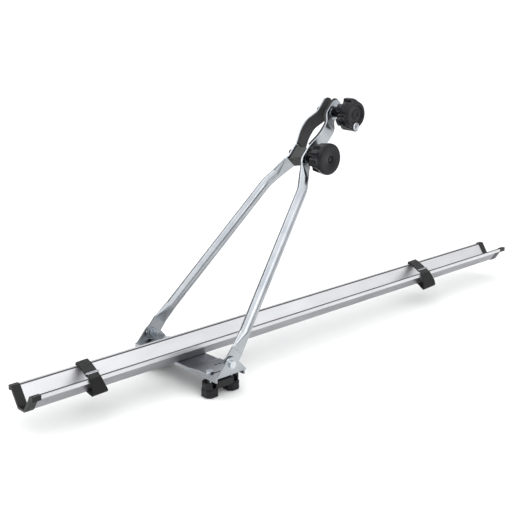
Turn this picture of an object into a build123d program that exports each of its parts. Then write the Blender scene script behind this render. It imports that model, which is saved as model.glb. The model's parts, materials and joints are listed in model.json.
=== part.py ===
from build123d import *
import math
import os

# Roof mounted bike carrier, in millimetres, +Z up.
# +X runs along the tray, towards the end that the two arms lean to.
# +Y runs along the roof bar, away from the side that has the two big knobs.
# The origin is the middle of the seat on the roof bar, the underside of the rubber pad.

# Fits and cuts
OVERRUN = 5.0            # how far every cutter stands past the metal that it cuts
RUNNING_FIT = 0.06       # radial gap of a part that turns on a bolt
SIDE_GAP = 0.3           # gap between faces of parts that move past each other
HOLE_FIT = 0.3           # gap round a fixed bolt in its hole; holes in the plate are square

# Tray: a bright aluminium gutter that both wheels stand in
TRAY_LENGTH = 1300.0
TRAY_SHORT_END = 344.0   # from the roof bar to the end that the arms lean away from
TRAY_WIDTH = 69.2
TRAY_MOUTH = 56.6
TRAY_HEIGHT = 31.5
TRAY_WALL = 1.8
TRAY_FLOOR = 19.0
LIP_DROP = 6.0
FLOOR_RADIUS = 3.0
CAP_LENGTH = 15.0
CAP_WALL = 1.2
CAP_END = 1.6
CAP_FIT = 0.1

# Base plate: one steel stamping across the roof bar, with an ear turned up at each end
PAD_THICKNESS = 2.5
PAD_WIDTH = 30.0
PAD_LENGTH = 206.0
PLATE_THICKNESS = 3.0
PLATE_WIDTH = 67.0
PLATE_LENGTH = 230.0
PLATE_STEP = 1.5         # the two wings stand this much above the middle
STEP_START = 44.0
STEP_RUN = 6.0
FLANGE_DEPTH_MIDDLE = 6.0
FLANGE_DEPTH_END = 10.0
PLATE_BEND = 1.2         # bevel along the two long bends
EAR_HALF_BASE = 33.0
EAR_TOP_RADIUS = 13.5
SLIT_LENGTH = 36.0
SLIT_WIDTH = 3.2
SLIT_PLACE = 95.0
SLIT_SHIFT = 9.0
EYE_LENGTH = 7.0
EYE_WIDTH = 3.0
EYE_PLACE = 68.0
EYE_SHIFT = 11.0
EYE_SPACING = 9.0

# Screws that hold the tray down on the plate
TRAY_BOLT = 6.0
TRAY_BOLT_PLACE = 24.0
TRAY_BOLT_HEAD = 10.0
TRAY_BOLT_HEAD_HEIGHT = 3.3
TRAY_NUT_FLATS = 10.0
TRAY_NUT_HEIGHT = 5.0
TRAY_BOLT_END = 1.0      # thread that stands out of the nut

# Arms: steel tubes, pressed flat at the foot and along the jaw
PIVOT_X = 3.0
FOOT_CLEARANCE = 0.8     # between the round foot and the plate
ARM_LEAN = 42.0          # from upright, towards +X
TUBE_DIAMETER = 20.0
FLAT_THICKNESS = 3.4
FOOT_GAP = 1.3           # between the foot and the inside of the ear
FOOT_FLAT = 26.0
PRESS_LENGTH = 34.0      # tube that the flattening of the foot takes
HEAD_PRESS_LENGTH = 27.2
PRESS_SHARES = (0.0, 0.5, 1.0)
PRESSED_SHARES = (0.6, 0.985)    # thickness there, as shares of the tube's diameter
PRESS_FLATS = 20         # flats that draw a pressed section's round ends
BEND_TO_JAW = 74.0       # from the bend in the tube to the lower clamp bolt, along the arm
BEND_SPREAD = 48.0       # half the distance between the two tubes at the bend
BEND_RADIUS_SHARE = 0.6  # radius of the bend, as a share of its distance from the bolt

# Jaws
JAW_REACH = 428.0        # from the pivot to the lower clamp bolt, along the arm
JAW_BOLT_SPACING = 103.0
JAW_WIDTH = 28.0
JAW_THROAT = 17.5        # half gap between the strips at the lower bolt, to their middle
JAW_MOUTH = 12.5         # the same at the upper bolt
JAW_BOW = 27.2           # the same at the widest place
JAW_BOW_START = 44.0     # places along the jaw, counted from the lower bolt
JAW_BOW_END = 70.0
JAW_THROAT_FLAT = 14.0
JAW_PRESS_GAP = 9.0      # straight strip between the pressed tube and the throat
JAW_MOUTH_FLAT = 13.0
JAW_TIP = 24.0           # past the upper bolt
JAW_RADII = [14.0, 25.0, 60.0, 30.0, 20.0]
TIP_RADIUS = 10.0
LINER_THICKNESS = 2.6
LINER_START = 15.0
LINER_LIP = 2.2          # the rubber stands past the steel tip by this much
JAW_OPENING = 2.5        # degrees that the near arm swings out when both knobs are slack

# Clamp bolts and knobs at the head
BOLT = 8.0
BOLT_COLLAR = 12.0
BOLT_COLLAR_HEIGHT = 3.0
CAP_DIAMETER = 11.6
CAP_REACH = 13.0         # from the strip to the end of the bolt's plastic cap
CAP_EDGE = 1.6
BLOCK_LOW = 22.0         # spacer block, below and above the lower bolt
BLOCK_HIGH = 12.0
BLOCK_WAIST = 8.0
BLOCK_SADDLE = 18.0
BLOCK_GROOVE = 2.4
LOWER_WASHER_DIAMETER = 22.0
UPPER_WASHER_DIAMETER = 18.0
WASHER_THICKNESS = 2.0
SMALL_FLATS = 16         # flats that draw a small ring or boss
BIG_FLATS = 24           # flats that draw the round outline of a big knob

LOWER_KNOB_DIAMETER = 60.0
LOWER_KNOB_FACE = 72.0   # distance of the flat face from the middle of the carrier
LOWER_KNOB_SKIRT = 34.0
LOWER_HUB_DIAMETER = 27.0
LOWER_KNOB_BACK_DIAMETER = 54.0
LOWER_KNOB_RIM = 9.0
LOWER_KNOB_EDGE = 3.0
FLUTE_COUNT = 8
FLUTE_DEPTH = 4.4
FLUTE_RADIUS = 9.0
FACE_RECESS_DIAMETER = 10.6
BOLT_RECESS = 5.0        # the bolt ends this far below a knob's face

UPPER_KNOB_DIAMETER = 54.0
UPPER_KNOB_FACE = 72.0
UPPER_KNOB_BODY = 28.0
UPPER_HUB_DIAMETER = 21.0
UPPER_COLLAR = 5.0       # length of the plain front part
UPPER_COLLAR_EDGE = 2.4
LOBE_COUNT = 6
LOBE_VALLEY_DEPTH = 6.0
LOBE_VALLEY_RADIUS = 8.0
UPPER_CAP_DIAMETER = 35.0
UPPER_CAP_DEPTH = 3.0
LOCK_OFFSET = 22.0
LOCK_BOSS_DIAMETER = 17.5
LOCK_BOSS_LENGTH = 31.0
LOCK_SLEEVE_DIAMETER = 14.6
LOCK_SLEEVE_LENGTH = 18.0
LOCK_BARREL_DIAMETER = 11.0
LOCK_BARREL_LENGTH = 16.0
KEY_SLOT_LENGTH = 6.0
KEY_SLOT_WIDTH = 1.6
KEY_SLOT_DEPTH = 6.0

# Clamps that pull the plate down on the roof bar
CLAMP_PLACE = 88.0       # from the middle of the plate, along the roof bar
CLAMP_SPACING = 50.0     # between the two bolts of a clamp
CLAMP_BAR_LENGTH = 76.0
CLAMP_BAR_WIDTH = 25.0
CLAMP_BAR_HEIGHT = 13.0
CLAMP_GAP = 9.0          # free height under the pad, as photographed
CLAMP_NOTCH_FLOOR = 2.5
CLAMP_HEAD_FLATS = 13.0
CLAMP_HEAD_HEIGHT = 3.4
CLAMP_KNOB_SIDE = 27.0
CLAMP_KNOB_CORNER = 6.5
CLAMP_BAR_CORNER = 7.0
CLAMP_KNOB_HEIGHT = 14.5
CLAMP_KNOB_EDGE = 1.8

# Pivot bolts at the feet
PIVOT_HEAD_DIAMETER = 13.6
PIVOT_HEAD_HEIGHT = 3.4
PIVOT_WASHER_DIAMETER = 16.0
PIVOT_WASHER_THICKNESS = 1.6
PIVOT_NUT_FLATS = 13.0
PIVOT_NUT_HEIGHT = 7.0
PIVOT_PLAY = 0.5         # side play of the foot between the ear and the washer

# Wheel straps: loose loops of webbing round the tray
STRAP_WIDTH = 25.0
STRAP_THICKNESS = 1.8
STRAP_GAP = 0.4
LEFT_STRAP_X = -213.0
LEFT_STRAP_SKEW = 14.0   # degrees that the loop is turned on the tray
RIGHT_STRAP_X = 677.0
RIGHT_STRAP_SKEW = 20.0
STRAP_RISE = 3.0         # the far corner stands this much above the near one
STRAP_SIDE_OUT = 7.0     # how far the hanging sides stand off the lip
STRAP_FOLD_RISE = 3.0
STRAP_CROWN_SHARE = 0.33     # rise of the middle, as a share of the far corner's
STRAP_LIP_SHARE = 0.7        # the near side at the lip, as a share of its stand-off
STRAP_FAR_SHARE = 0.5        # stand-off of the far side, as a share of the near one's
BUCKLE_PLACE = 11.0
BUCKLE_LENGTH = 12.0
BUCKLE_WIRE = 2.4
BUCKLE_SIDE_GAP = 1.2

# Levels and places that follow from the sizes above
PLATE_UNDER = PAD_THICKNESS
TRAY_UNDER = PLATE_UNDER + PLATE_THICKNESS
WING_TOP = TRAY_UNDER + PLATE_STEP
WING_UNDER = WING_TOP - PLATE_THICKNESS
TRAY_TOP = TRAY_UNDER + TRAY_HEIGHT
HALF_PLATE = PLATE_LENGTH / 2
EAR_INSIDE = HALF_PLATE - PLATE_THICKNESS
FOOT_WIDTH = FLAT_THICKNESS + math.pi * (TUBE_DIAMETER - FLAT_THICKNESS) / 2
FOOT_Y = EAR_INSIDE - FOOT_GAP - FLAT_THICKNESS / 2
PIVOT_Z = WING_TOP + FOOT_CLEARANCE + FOOT_WIDTH / 2
LEAN = math.radians(ARM_LEAN)
ALONG = (math.sin(LEAN), 0, math.cos(LEAN))
BEND_REACH = JAW_REACH - BEND_TO_JAW
BEND_RADIUS = BEND_TO_JAW * BEND_RADIUS_SHARE
UPPER_REACH = JAW_REACH + JAW_BOLT_SPACING
LOWER_BOLT_X = PIVOT_X + JAW_REACH * ALONG[0]
LOWER_BOLT_Z = PIVOT_Z + JAW_REACH * ALONG[2]
UPPER_BOLT_X = PIVOT_X + UPPER_REACH * ALONG[0]
UPPER_BOLT_Z = PIVOT_Z + UPPER_REACH * ALONG[2]
THROAT_FACE = JAW_THROAT + FLAT_THICKNESS / 2
MOUTH_FACE = JAW_MOUTH + FLAT_THICKNESS / 2
JAW_END = JAW_BOLT_SPACING + JAW_TIP
SWING = math.radians(JAW_OPENING)
BAR_TOP = -CLAMP_GAP
BAR_UNDER = BAR_TOP - CLAMP_BAR_HEIGHT
CLAMP_KNOB_TOP = BAR_UNDER - SIDE_GAP
CLAMP_KNOB_UNDER = CLAMP_KNOB_TOP - CLAMP_KNOB_HEIGHT

os.makedirs("parts", exist_ok=True)


def write(block, name):
    """Label a finished piece and write it to its own file."""
    block.part.label = name
    export_step(block.part, f"parts/{name}.step")


def across(x, y, z):
    """A plane whose normal points to the knob side, with x along the tray and y up."""
    return Plane(origin=(x, y, z), x_dir=(1, 0, 0), z_dir=(0, -1, 0))


def parallel(corners, radii, gap):
    """Corners and radii of the path that runs beside a path, gap to its left."""
    moved = []
    for i, point in enumerate(corners):
        before = corners[max(i - 1, 0)]
        after = corners[min(i + 1, len(corners) - 1)]
        if i == 0:
            before = point
        if i == len(corners) - 1:
            after = point
        turns = []
        for start, end in ((before, point), (point, after)):
            run = math.hypot(end[0] - start[0], end[1] - start[1])
            if run > 0:
                turns.append(((start[1] - end[1]) / run, (end[0] - start[0]) / run))
        sideways = [sum(turn[axis] for turn in turns) / len(turns) for axis in (0, 1)]
        scale = gap / (sideways[0] ** 2 + sideways[1] ** 2)
        moved.append((point[0] + sideways[0] * scale, point[1] + sideways[1] * scale))
    eased = []
    for i, radius in enumerate(radii, start=1):
        first = (corners[i][0] - corners[i - 1][0], corners[i][1] - corners[i - 1][1])
        second = (corners[i + 1][0] - corners[i][0], corners[i + 1][1] - corners[i][1])
        turn = first[0] * second[1] - first[1] * second[0]
        eased.append(radius - gap if turn > 0 else radius + gap)
    return moved, eased


# Tray

WALL_LEAN = math.atan2(TRAY_MOUTH / 2 + TRAY_WALL - TRAY_FLOOR / 2, TRAY_HEIGHT)
INNER_FLOOR = TRAY_MOUTH / 2 - (TRAY_HEIGHT - TRAY_WALL) * math.tan(WALL_LEAN)


def tray_outline():
    """Half of the gutter's section and its mirror, standing on the x axis."""
    half_mouth = TRAY_MOUTH / 2
    half_width = TRAY_WIDTH / 2
    slice_width = TRAY_WALL / math.cos(WALL_LEAN)
    outer_floor = half_mouth + slice_width - TRAY_HEIGHT * math.tan(WALL_LEAN)
    outer_neck = half_mouth + slice_width - TRAY_WALL * math.tan(WALL_LEAN)
    half = [
        (0, 0),
        (outer_floor, 0),
        (outer_neck, TRAY_HEIGHT - TRAY_WALL),
        (half_width - TRAY_WALL, TRAY_HEIGHT - TRAY_WALL),
        (half_width - TRAY_WALL, TRAY_HEIGHT - LIP_DROP),
        (half_width, TRAY_HEIGHT - LIP_DROP),
        (half_width, TRAY_HEIGHT),
        (half_mouth, TRAY_HEIGHT),
        (INNER_FLOOR, TRAY_WALL),
        (0, TRAY_WALL),
    ]
    with BuildSketch() as outline:
        with BuildLine():
            Polyline(*half, close=True)
        make_face()
        mirror(about=Plane.YZ)
        floor_corners = outline.vertices().group_by(Axis.Y)[0]
        fillet(floor_corners, FLOOR_RADIUS)
    return outline.sketch


LEFT_END = -TRAY_SHORT_END
RIGHT_END = LEFT_END + TRAY_LENGTH
TRAY_SECTION = Plane(origin=(LEFT_END, 0, TRAY_UNDER), x_dir=(0, 1, 0), z_dir=(1, 0, 0))
TRAY_BOLTS = [(-TRAY_BOLT_PLACE, 0), (TRAY_BOLT_PLACE, 0)]
TRAY_HOLE = TRAY_BOLT + 2 * HOLE_FIT


def tray_piece(start, end):
    """The gutter between two places across it: its floor, or one wall with its flange."""
    with BuildPart() as piece:
        with BuildSketch(TRAY_SECTION):
            add(tray_outline())
            with Locations(((start + end) / 2, TRAY_HEIGHT / 2)):
                Rectangle(end - start, TRAY_HEIGHT + OVERRUN, mode=Mode.INTERSECT)
        extrude(amount=TRAY_LENGTH)
        with BuildSketch(Plane.XY.offset(TRAY_UNDER - OVERRUN)):
            with Locations(*TRAY_BOLTS):
                Rectangle(TRAY_HOLE, TRAY_HOLE)
        extrude(amount=OVERRUN * 2 + TRAY_WALL, mode=Mode.SUBTRACT)
    return piece


# The gutter is drawn in one piece. It is written as a floor and two walls that meet at
# the inner corners, so that what collides with it finds the trough open.
write(tray_piece(-INNER_FLOOR, INNER_FLOOR), "tray_floor")
write(tray_piece(INNER_FLOOR, TRAY_WIDTH), "tray_far_wall")
write(tray_piece(-TRAY_WIDTH, -INNER_FLOOR), "tray_near_wall")


def end_cap(end, inward):
    """A moulded sleeve over the last stretch of the gutter, open along the trough."""
    metal_end = Plane(origin=(end, 0, TRAY_UNDER), x_dir=(0, inward, 0), z_dir=(inward, 0, 0))
    outer_face = metal_end.offset(-CAP_END)
    with BuildPart() as cap:
        with BuildSketch(outer_face):
            add(tray_outline())
            offset(amount=CAP_WALL, kind=Kind.INTERSECTION)
        extrude(amount=CAP_LENGTH + CAP_END)
        with BuildSketch(metal_end):
            add(tray_outline())
            offset(amount=CAP_FIT, kind=Kind.INTERSECTION)
        extrude(amount=CAP_LENGTH + OVERRUN, mode=Mode.SUBTRACT)
    return cap


write(end_cap(LEFT_END, 1), "left_end_cap")
write(end_cap(RIGHT_END, -1), "right_end_cap")


# Base plate and what lies between it and the roof bar

def plate_line(level_middle, reach):
    """The stepped line of the plate from one end to the other, seen along the tray."""
    step_end = STEP_START + STEP_RUN
    half = [
        (STEP_START, level_middle),
        (step_end, level_middle + PLATE_STEP),
        (reach, level_middle + PLATE_STEP),
    ]
    return [(-y, z) for y, z in reversed(half)] + half


SIDE_VIEW = Plane(origin=(-PLATE_WIDTH / 2, 0, 0), x_dir=(0, 1, 0), z_dir=(1, 0, 0))
FLANGE_UNDER_MIDDLE = TRAY_UNDER - FLANGE_DEPTH_MIDDLE
FLANGE_UNDER_END = WING_TOP - FLANGE_DEPTH_END
CLAMP_HOLE = BOLT + 2 * HOLE_FIT
CLAMP_BOLTS = [
    (x, y)
    for y in (-CLAMP_PLACE, CLAMP_PLACE)
    for x in (-CLAMP_SPACING / 2, CLAMP_SPACING / 2)
]

with BuildPart() as base_plate:
    with BuildSketch(SIDE_VIEW):
        with BuildLine():
            Polyline(
                *plate_line(TRAY_UNDER, HALF_PLATE),
                (HALF_PLATE, FLANGE_UNDER_END),
                (0, FLANGE_UNDER_MIDDLE),
                (-HALF_PLATE, FLANGE_UNDER_END),
                close=True,
            )
        make_face()
    extrude(amount=PLATE_WIDTH)
    top_edges = [
        edge
        for edge in base_plate.edges()
        if edge.center().Z > TRAY_UNDER - PLATE_STEP and abs(edge.tangent_at(0).X) < 0.5
        and abs(edge.tangent_at(0).Z) < 0.5
    ]
    chamfer(top_edges, PLATE_BEND)
    with BuildSketch(SIDE_VIEW.offset(PLATE_THICKNESS)):
        with BuildLine():
            Polyline(
                *plate_line(PLATE_UNDER, HALF_PLATE + OVERRUN),
                (HALF_PLATE + OVERRUN, FLANGE_UNDER_END - OVERRUN),
                (-HALF_PLATE - OVERRUN, FLANGE_UNDER_END - OVERRUN),
                close=True,
            )
        make_face()
    extrude(amount=PLATE_WIDTH - 2 * PLATE_THICKNESS, mode=Mode.SUBTRACT)
    for side in (-1, 1):
        outside = Plane(origin=(0, side * HALF_PLATE, 0), x_dir=(1, 0, 0), z_dir=(0, -1, 0))
        with BuildSketch(outside) as ear:
            with Locations((PIVOT_X, PIVOT_Z)):
                Circle(EAR_TOP_RADIUS)
            with Locations((PIVOT_X, WING_UNDER + PLATE_THICKNESS / 2)):
                Rectangle(2 * EAR_HALF_BASE, PLATE_THICKNESS)
            make_hull()
            with Locations((PIVOT_X, PIVOT_Z)):
                Circle(BOLT / 2 + HOLE_FIT, mode=Mode.SUBTRACT)
        extrude(amount=side * PLATE_THICKNESS)
    with BuildSketch(Plane.XY.offset(PLATE_UNDER - OVERRUN)):
        with Locations(*CLAMP_BOLTS):
            Rectangle(CLAMP_HOLE, CLAMP_HOLE)
        with Locations(*TRAY_BOLTS):
            Rectangle(TRAY_HOLE, TRAY_HOLE)
        for side in (-1, 1):
            with Locations((PIVOT_X - SLIT_SHIFT, side * SLIT_PLACE)):
                Rectangle(SLIT_LENGTH, SLIT_WIDTH)
            for step in (-1, 1):
                with Locations((EYE_SHIFT + step * EYE_SPACING / 2, side * EYE_PLACE)):
                    Rectangle(EYE_LENGTH, EYE_WIDTH)
    extrude(amount=WING_TOP + OVERRUN, mode=Mode.SUBTRACT)
write(base_plate, "base_plate")

with BuildPart() as seat_pad:
    with BuildSketch(Plane(origin=(-PAD_WIDTH / 2, 0, 0), x_dir=(0, 1, 0), z_dir=(1, 0, 0))):
        with BuildLine():
            Polyline(
                *plate_line(PLATE_UNDER, PAD_LENGTH / 2),
                (PAD_LENGTH / 2, 0),
                (-PAD_LENGTH / 2, 0),
                close=True,
            )
        make_face()
    extrude(amount=PAD_WIDTH)
write(seat_pad, "seat_pad")


# Fasteners that stay with the base

FLOOR_TOP = TRAY_UNDER + TRAY_WALL
TRAY_NUT_UNDER = PLATE_UNDER - TRAY_NUT_HEIGHT

with BuildPart() as tray_bolts:
    for x, y in TRAY_BOLTS:
        with BuildSketch(Plane.XY.offset(FLOOR_TOP)):
            with Locations((x, y)):
                RegularPolygon(TRAY_BOLT_HEAD / 2, 6, major_radius=False)
        extrude(amount=TRAY_BOLT_HEAD_HEIGHT)
        with BuildSketch(Plane.XY.offset(TRAY_NUT_UNDER - TRAY_BOLT_END)):
            with Locations((x, y)):
                Circle(TRAY_BOLT / 2)
        extrude(amount=FLOOR_TOP - TRAY_NUT_UNDER + TRAY_BOLT_END)
write(tray_bolts, "tray_bolts")

with BuildPart() as tray_nuts:
    with BuildSketch(Plane.XY.offset(TRAY_NUT_UNDER)):
        with Locations(*TRAY_BOLTS):
            RegularPolygon(TRAY_NUT_FLATS / 2, 6, major_radius=False)
            RegularPolygon(
                TRAY_BOLT / 2 + RUNNING_FIT, SMALL_FLATS, major_radius=False, mode=Mode.SUBTRACT
            )
    extrude(amount=TRAY_NUT_HEIGHT)
write(tray_nuts, "tray_nuts")

PIVOT_WASHER_OUT = FOOT_Y - FLAT_THICKNESS / 2 - PIVOT_PLAY
PIVOT_WASHER_IN = PIVOT_WASHER_OUT - PIVOT_WASHER_THICKNESS
PIVOT_NUT_IN = PIVOT_WASHER_IN - PIVOT_NUT_HEIGHT
PIVOT_BOLT_END = PIVOT_NUT_IN - TRAY_BOLT_END

with BuildPart() as pivot_bolts:
    for side in (-1, 1):
        with BuildSketch(across(PIVOT_X, side * (HALF_PLATE + PIVOT_HEAD_HEIGHT), PIVOT_Z)):
            Circle(PIVOT_HEAD_DIAMETER / 2)
        extrude(amount=side * PIVOT_HEAD_HEIGHT)
        with BuildSketch(across(PIVOT_X, side * HALF_PLATE, PIVOT_Z)):
            Circle(BOLT / 2)
        extrude(amount=side * (HALF_PLATE - PIVOT_BOLT_END))
write(pivot_bolts, "pivot_bolts")

with BuildPart() as pivot_nuts:
    for side in (-1, 1):
        with BuildSketch(across(PIVOT_X, side * PIVOT_WASHER_OUT, PIVOT_Z)):
            RegularPolygon(PIVOT_WASHER_DIAMETER / 2, SMALL_FLATS)
        extrude(amount=side * PIVOT_WASHER_THICKNESS)
        with BuildSketch(across(PIVOT_X, side * PIVOT_WASHER_IN, PIVOT_Z)):
            RegularPolygon(PIVOT_NUT_FLATS / 2, 6, major_radius=False)
        extrude(amount=side * PIVOT_NUT_HEIGHT)
    with BuildSketch(across(PIVOT_X, HALF_PLATE, PIVOT_Z)):
        RegularPolygon(BOLT / 2 + RUNNING_FIT, SMALL_FLATS, major_radius=False)
    extrude(amount=PLATE_LENGTH, mode=Mode.SUBTRACT)
write(pivot_nuts, "pivot_nuts")

with BuildPart() as clamp_bolts:
    for x, y in CLAMP_BOLTS:
        with BuildSketch(Plane.XY.offset(WING_TOP)):
            with Locations((x, y)):
                RegularPolygon(CLAMP_HEAD_FLATS / 2, 6, major_radius=False)
        extrude(amount=CLAMP_HEAD_HEIGHT)
        with BuildSketch(Plane.XY.offset(CLAMP_KNOB_UNDER)):
            with Locations((x, y)):
                Circle(BOLT / 2)
        extrude(amount=WING_TOP - CLAMP_KNOB_UNDER)
write(clamp_bolts, "clamp_bolts")


# Clamps

CLAMP_KNOB_BORE = BOLT / 2 + RUNNING_FIT


def clamp_bar(side):
    """A black bar under the roof bar, notched from outside round its two bolts."""
    notch_width = BOLT + 2 * SIDE_GAP
    notch_shift = (CLAMP_BAR_WIDTH - notch_width) / 2
    with BuildPart() as bar:
        with BuildSketch(Plane.XY.offset(BAR_UNDER)):
            with Locations((0, side * CLAMP_PLACE)):
                Rectangle(CLAMP_BAR_LENGTH, CLAMP_BAR_WIDTH)
        extrude(amount=CLAMP_BAR_HEIGHT)
        chamfer(bar.edges().filter_by(Axis.Z), CLAMP_BAR_CORNER)
        for x in (-CLAMP_SPACING / 2, CLAMP_SPACING / 2):
            with BuildSketch(Plane.XY.offset(BAR_UNDER + CLAMP_NOTCH_FLOOR)):
                with Locations((x, side * (CLAMP_PLACE + notch_shift))):
                    Rectangle(notch_width, CLAMP_BAR_WIDTH)
            extrude(amount=CLAMP_BAR_HEIGHT, mode=Mode.SUBTRACT)
            with BuildSketch(Plane.XY.offset(BAR_UNDER - OVERRUN)):
                with Locations((x, side * CLAMP_PLACE)):
                    Circle(BOLT / 2 + SIDE_GAP)
            extrude(amount=CLAMP_BAR_HEIGHT, mode=Mode.SUBTRACT)
    return bar


def clamp_knob(x, y):
    """A square hand knob with its corners cut off, bevelled at the bottom."""
    with BuildPart() as knob:
        with BuildSketch(Plane(origin=(x, y, CLAMP_KNOB_UNDER))) as outline:
            Rectangle(CLAMP_KNOB_SIDE, CLAMP_KNOB_SIDE)
            chamfer(outline.vertices(), CLAMP_KNOB_CORNER)
            Circle(CLAMP_KNOB_BORE, mode=Mode.SUBTRACT)
        extrude(amount=CLAMP_KNOB_HEIGHT)
        rim = knob.edges().group_by(Axis.Z)[0].filter_by(GeomType.LINE)
        chamfer(rim, CLAMP_KNOB_EDGE)
    return knob


for end_name, side in (("near", -1), ("far", 1)):
    write(clamp_bar(side), f"{end_name}_clamp_bar")
    for hand_name, hand in (("left", -1), ("right", 1)):
        place = (hand * CLAMP_SPACING / 2, side * CLAMP_PLACE)
        write(clamp_knob(*place), f"{end_name}_{hand_name}_clamp_knob")


# Arms

THROAT_START = (JAW_REACH - JAW_THROAT_FLAT, JAW_THROAT)
TUBE_TURN = math.atan2(BEND_SPREAD - JAW_THROAT, JAW_REACH - JAW_THROAT_FLAT - BEND_REACH)
TUBE_SLOPE = (FOOT_Y - BEND_SPREAD) / (BEND_REACH - FOOT_FLAT)
FOOT_PRESS_END = FOOT_FLAT + PRESS_LENGTH
STRIP_START = JAW_REACH - JAW_THROAT_FLAT - JAW_PRESS_GAP
JAW_PRESS_START = STRIP_START - HEAD_PRESS_LENGTH
JAW_CORNERS = [
    (STRIP_START, JAW_THROAT + JAW_PRESS_GAP * math.tan(TUBE_TURN)),
    THROAT_START,
    (JAW_REACH + JAW_THROAT_FLAT, JAW_THROAT),
    (JAW_REACH + JAW_BOW_START, JAW_BOW),
    (JAW_REACH + JAW_BOW_END, JAW_BOW),
    (UPPER_REACH - JAW_MOUTH_FLAT, JAW_MOUTH),
    (JAW_REACH + JAW_END, JAW_MOUTH),
]


def arm_plane(side):
    """The leaning plane that holds one arm: x runs up the arm, y out from the middle."""
    return Plane(origin=(PIVOT_X, 0, PIVOT_Z), x_dir=ALONG, z_dir=(-side * ALONG[2], 0, side * ALONG[0]))


def pressed_width(thickness):
    """Width of the tube once it is pressed to a thickness, its wall's length kept."""
    return thickness + math.pi * (TUBE_DIAMETER - thickness) / 2


def pressed_outline(thickness):
    """Corners of a pressed section, whose flats touch its straight sides and round ends."""
    turn = math.tau / PRESS_FLATS
    corner_radius = thickness / 2 / math.cos(turn / 2)
    end_place = (pressed_width(thickness) - thickness) / 2
    corners = []
    for step in range(PRESS_FLATS):
        angle = turn * (step + 1 / 2)
        end = math.copysign(end_place, math.cos(angle))
        corners.append((end + corner_radius * math.cos(angle), corner_radius * math.sin(angle)))
    return corners


def press_sections(side, start, end, start_line, thicknesses):
    """Sections between tube and strip, each square to the tube's line."""
    frame = arm_plane(side)
    sections = []
    for share, thickness in zip(PRESS_SHARES, thicknesses):
        reach = start + (end - start) * share
        spread, slope = start_line(reach)
        origin = frame.from_local_coords(Vector(reach, spread, 0))
        heading = frame.from_local_coords(Vector(reach + 1, spread + slope, 0)) - origin
        with BuildSketch(Plane(origin=origin, x_dir=frame.z_dir, z_dir=heading)) as section:
            with BuildLine():
                Polyline(*pressed_outline(thickness), close=True)
            make_face()
        sections.append(section.sketch)
    return sections


def foot_line(reach):
    """Spread and slope of the lower tube at a reach."""
    return FOOT_Y - TUBE_SLOPE * (reach - FOOT_FLAT), -TUBE_SLOPE


def head_line(reach):
    """Spread and slope of the upper tube at a reach."""
    slope = math.tan(TUBE_TURN)
    return BEND_SPREAD - slope * (reach - BEND_REACH), -slope


PRESSED = [FLAT_THICKNESS] + [TUBE_DIAMETER * share for share in PRESSED_SHARES]


def bolt_slot(x, z, gap, travel):
    """A hole round a clamp bolt, drawn out down the arm by the travel."""
    slot = Plane(origin=(x, 0, z), x_dir=ALONG, z_dir=(0, -1, 0))
    with BuildSketch(slot) as outline:
        Circle(BOLT / 2 + gap)
        if travel > 0:
            with Locations((-travel, 0)):
                Circle(BOLT / 2 + gap)
            with Locations((-travel / 2, 0)):
                Rectangle(travel, BOLT + 2 * gap)
    return outline.sketch


def make_arm(side, foot_hole, jaw_gap, jaw_travel):
    """One tube with its flat foot, its bend and its bowed jaw strip."""
    frame = arm_plane(side)
    tube_path = [
        (FOOT_PRESS_END, foot_line(FOOT_PRESS_END)[0]),
        (BEND_REACH, BEND_SPREAD),
        (JAW_PRESS_START, head_line(JAW_PRESS_START)[0]),
    ]
    with BuildPart() as arm:
        foot = Plane(origin=(PIVOT_X, side * FOOT_Y, PIVOT_Z), x_dir=ALONG, z_dir=(0, 1, 0))
        with BuildSketch(foot):
            Circle(FOOT_WIDTH / 2)
            with Locations((FOOT_FLAT / 2, 0)):
                Rectangle(FOOT_FLAT, FOOT_WIDTH)
        extrude(amount=FLAT_THICKNESS / 2, both=True)
        add(press_sections(side, FOOT_FLAT, FOOT_PRESS_END, foot_line, PRESSED))
        loft(ruled=True)
        with BuildLine(frame) as route:
            FilletPolyline(*tube_path, radius=BEND_RADIUS)
        with BuildSketch(Plane(origin=route.line @ 0, x_dir=frame.z_dir, z_dir=route.line % 0)):
            Circle(TUBE_DIAMETER / 2)
        sweep(path=route.line)
        add(press_sections(side, JAW_PRESS_START, STRIP_START, head_line, PRESSED[::-1]))
        loft(ruled=True)
        with BuildSketch(frame):
            with BuildLine():
                FilletPolyline(*JAW_CORNERS, radius=JAW_RADII)
            trace(line_width=FLAT_THICKNESS)
        extrude(amount=JAW_WIDTH / 2, both=True)
        tip_face = arm.faces().sort_by(Axis((PIVOT_X, 0, PIVOT_Z), ALONG))[-1]
        fillet(tip_face.edges().filter_by(Axis.Y), TIP_RADIUS)
        add(bolt_slot(PIVOT_X, PIVOT_Z, foot_hole, 0))
        add(bolt_slot(LOWER_BOLT_X, LOWER_BOLT_Z, jaw_gap, jaw_travel))
        add(bolt_slot(UPPER_BOLT_X, UPPER_BOLT_Z, jaw_gap, jaw_travel))
        extrude(amount=HALF_PLATE, dir=(0, side, 0), mode=Mode.SUBTRACT)
    return arm


# A jaw that swings out about its foot also rises a little along the bolts' line
SWING_RISE = (FOOT_Y - JAW_MOUTH) * math.sin(SWING)
SWING_GAP = FLAT_THICKNESS * math.sin(SWING) + SIDE_GAP
far_arm = make_arm(1, RUNNING_FIT, HOLE_FIT, 0)
near_arm = make_arm(-1, HOLE_FIT, SWING_GAP, SWING_RISE)
write(far_arm, "far_arm_tube")
write(near_arm, "near_arm_tube")


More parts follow.
